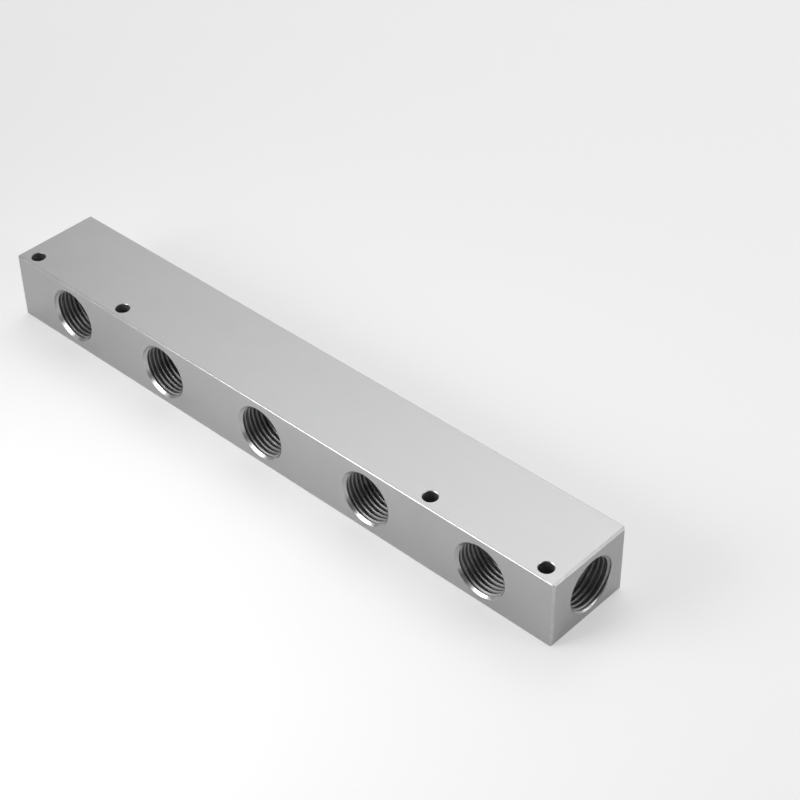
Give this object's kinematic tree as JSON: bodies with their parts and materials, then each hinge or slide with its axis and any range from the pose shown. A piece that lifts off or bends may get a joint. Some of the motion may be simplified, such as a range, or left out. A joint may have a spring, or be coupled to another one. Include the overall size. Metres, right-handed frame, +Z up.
{
  "type": "air manifold block",
  "caption": "Rectangular aluminium bar with a gallery bored along it, a tapped port in each end, a row of tapped outlets in the front face and bolt holes down through it.",
  "frame": {"origin": "middle of the underside, which the block rests on", "axes": "+X along the bar, towards the end port that the picture shows; -Y out of the outlets' face; +Z up, towards the face with the bolt holes' heads"},
  "size_m": [0.26, 0.0356, 0.027],
  "materials": {
    "anodised_aluminium": "satin, clear anodised"
  },
  "bodies": {
    "root": {"manifold_block": "anodised_aluminium"}
  },
  "joints": []
}
